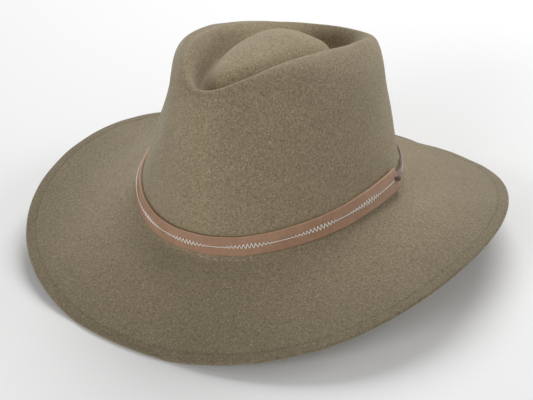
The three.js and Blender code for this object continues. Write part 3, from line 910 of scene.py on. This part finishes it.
class HAT_OT_seam(bpy.types.Operator):
    """Seam stitches: short dashes of grey thread in the felt at the foot of the crown, most of them behind
    the band's lower edge and a few below it at the front"""

    bl_idname = "hat.make_seam"
    bl_label = "Seam Stitches"

    def execute(self, context):
        settings = context.scene.hat_thread
        centres = np.arange(-178, 178, SEAM_SPACING) + SEAM_SHIFT
        dip = smoothstep(centres, 6, 10) * (1 - smoothstep(centres, 29, 33))
        place = FOOT_PLACE + 0.3 - 0.42 * dip + 0.015 * np.sin(centres * 1.7)
        share = np.linspace(-0.5, 0.5, 7)
        bearing = centres[:, None] + share[None, :] * (1.25 + 0.3 * np.sin(centres * 2.3))[:, None]
        angle = np.radians(bearing).ravel()
        places = (place[:, None] + 0 * share[None, :]).ravel()
        point = upper_face(angle, places)
        normal = face_normal(angle, places)
        arch = (1 - (2 * share) ** 2)[None, :] + 0 * centres[:, None]
        path = (point + normal * ((0.26 * arch - 0.12) * MM).ravel()[:, None]).reshape(len(centres), -1, 3)
        facing = normal.reshape(path.shape)
        radius = SEAM_RADIUS * np.sqrt(1.05 - (1.9 * share) ** 2 * 0.9)
        one_turn = np.arange(THREAD_SIDES) / THREAD_SIDES
        parts, values, turns = [], [], []
        for row, out in zip(path, facing):
            rings = tube_outlines(row, out, radius, THREAD_SIDES, flat=0.8)
            parts.append(capped(rings, row[0], row[-1]))
            values.append(np.append(np.repeat(arc_length(row), THREAD_SIDES), [0, 0]))
            turns.append(np.append(np.tile(one_turn, len(row)), [0, 0]))
        points, quads, triangles = joined(parts)
        piece = new_piece("seam_stitches", points, quads, triangles,
                          {"along": np.concatenate(values), "turn": np.concatenate(turns)})
        place_piece(piece, thread_finish("grey_thread", settings.grey, settings.grey_shadow))
        return {"FINISHED"}


class HAT_OT_lace(bpy.types.Operator):
    """Lace: a flat thong behind the two ends of the band, with a stem out through each and a knot on it"""

    bl_idname = "hat.make_lace"
    bl_label = "Lace"

    def execute(self, context):
        settings, band = context.scene.hat_lace, context.scene.hat_band
        middle = BAND_ABOVE_FOOT + band.width / 2
        ends = (BAND_LEFT - HOLE_INSET, BAND_REAR + 360 + HOLE_INSET)
        bearings = np.linspace(ends[0] - 0.9, ends[1] + 0.9, 150)
        wall = Wall(bearings, middle)
        turn = np.linspace(0, 2 * np.pi, 20, endpoint=False)
        # superellipse section, squarer than an ellipse
        up = np.sign(np.sin(turn)) * np.abs(np.sin(turn)) ** 0.55 * settings.width / 2
        out = np.sign(np.cos(turn)) * np.abs(np.cos(turn)) ** 0.55 * settings.thickness / 2
        sway = 0.25 * MM * np.sin(np.radians(bearings) * 11)
        height = middle + up[:, None] + sway[None, :]
        distance = settings.thickness / 2 + out[:, None] + lace_off(bearings)[None, :]
        outlines = wall.at(height, distance).transpose(1, 0, 2)[:, ::-1]
        outer = np.broadcast_to(smoothstep(np.cos(turn), -0.1, 0.6)[::-1], outlines.shape[:2])
        thong = strip_piece("lace_thong", outlines, {"outer": outer})
        finish = lace_finish(settings)
        place_piece(thong, finish, "lace")
        knots = Wall(np.array(ends), middle)
        outside = BAND_GAP + END_LIFT + band.thickness
        seat = knots.at(np.full(2, middle), np.full(2, outside + LACE_GAP + 0.4 * settings.knot))
        parts = [ball(seat[i], knots.out[i], settings.knot / 2, 0.82, 2.2) for i in (0, 1)]
        for i in (0, 1):
            stem = knots.at(np.full(2, middle), np.full(2, 1.0 * MM))[i]
            path = stem + (seat[i] - stem) * np.linspace(0, 1, 6)[:, None]
            upward = np.broadcast_to([0.0, 0.0, 1.0], path.shape)
            rings = tube_outlines(path, upward, STEM_RADIUS, STEM_SIDES)
            parts.append(capped(rings, path[0], path[-1]))
        points, quads, triangles = joined(parts)
        # the knots a little paler by painted light
        knot = new_piece("lace_knots", points, quads, triangles, {"outer": np.full(len(points), 0.2)})
        place_piece(knot, finish)
        return {"FINISHED"}


class HAT_OT_studio(bpy.types.Operator):
    """Floor, soft lights and the camera"""

    bl_idname = "hat.make_studio"
    bl_label = "Studio"

    def execute(self, context):
        settings = context.scene.hat_studio
        scene = context.scene
        corners = FLOOR_HALF * np.array([[-1, -1, 0], [1, -1, 0], [1, 1, 0], [-1, 1, 0]])
        floor = new_piece("studio_floor", corners, np.array([[0, 1, 2, 3]]))
        floor.data.materials.append(floor_finish(settings))
        for name, spot, size in LIGHTS:
            data = bpy.data.lights.new(name + "_light", "AREA")
            data.shape, data.size, data.energy = "DISK", size, getattr(settings, name)
            light = bpy.data.objects.new(name + "_light", data)
            scene.collection.objects.link(light)
            light.location = spot
            light.rotation_euler = (Vector(LIT_POINT) - Vector(spot)).to_track_quat("-Z", "Y").to_euler()
        world = bpy.data.worlds.new("studio")
        world.use_nodes = True
        world.node_tree.nodes["Background"].inputs["Color"].default_value = (1, 1, 1, 1)
        world.node_tree.nodes["Background"].inputs["Strength"].default_value = settings.sky
        scene.world = world
        scene.view_settings.view_transform = "Standard"
        scene.view_settings.look = "None"
        turn, rise, roll = np.radians([CAMERA_TURN, CAMERA_RISE, CAMERA_ROLL])
        back = np.array([np.sin(turn) * np.cos(rise), -np.cos(turn) * np.cos(rise), np.sin(rise)])
        right = np.array([np.cos(turn), np.sin(turn), 0])
        up = np.cross(back, right)
        spot = right * CAMERA_RIGHT + up * CAMERA_UP + back * CAMERA_BACK
        data = bpy.data.cameras.new("camera")
        data.sensor_width = SENSOR_WIDTH
        data.lens = SENSOR_WIDTH * CAMERA_FOCUS / IMAGE_WIDTH
        data.clip_start, data.clip_end = 0.05, 60
        camera = bpy.data.objects.new("camera", data)
        scene.collection.objects.link(camera)
        x_axis = np.cos(roll) * right + np.sin(roll) * up
        y_axis = np.cos(roll) * up - np.sin(roll) * right
        place = Matrix.Identity(4)
        for column, axis in enumerate((x_axis, y_axis, back, spot)):
            for row in range(3):
                place[row][column] = axis[row]
        camera.matrix_world = place
        scene.camera = camera
        return {"FINISHED"}


MAKERS = (HAT_OT_studio, HAT_OT_felt, HAT_OT_band, HAT_OT_zigzag, HAT_OT_seam, HAT_OT_lace)
GROUPS = {"hat_felt": HatFelt, "hat_band": HatBand, "hat_thread": HatThread, "hat_lace": HatLace,
          "hat_studio": HatStudio}


class HAT_PT_panel(bpy.types.Panel):
    """Sizes, colours and makers of the hat"""

    bl_idname = "HAT_PT_panel"
    bl_label = "Felt Hat"
    bl_space_type = "VIEW_3D"
    bl_region_type = "UI"
    bl_category = "Felt Hat"

    def draw(self, context):
        for group in GROUPS:
            box = self.layout.box()
            settings = getattr(context.scene, group)
            for name in GROUPS[group].__annotations__:
                box.prop(settings, name)
        for maker in MAKERS:
            self.layout.operator(maker.bl_idname)


CLASSES = (*GROUPS.values(), *MAKERS, HAT_PT_panel)


def register():
    """Registers the classes and hangs each group of settings on the scene."""
    for made in CLASSES:
        bpy.utils.register_class(made)
    for name, group in GROUPS.items():
        setattr(bpy.types.Scene, name, PointerProperty(type=group))


def unregister():
    """Takes the settings and the classes away again."""
    for name in GROUPS:
        delattr(bpy.types.Scene, name)
    for made in reversed(CLASSES):
        bpy.utils.unregister_class(made)


def main():
    """Makes the stage and the pieces in order."""
    register()
    bpy.ops.hat.make_studio()
    bpy.ops.hat.make_felt()
    bpy.ops.hat.make_band()
    bpy.ops.hat.make_zigzag()
    bpy.ops.hat.make_seam()
    bpy.ops.hat.make_lace()


if __name__ == "__main__":
    main()
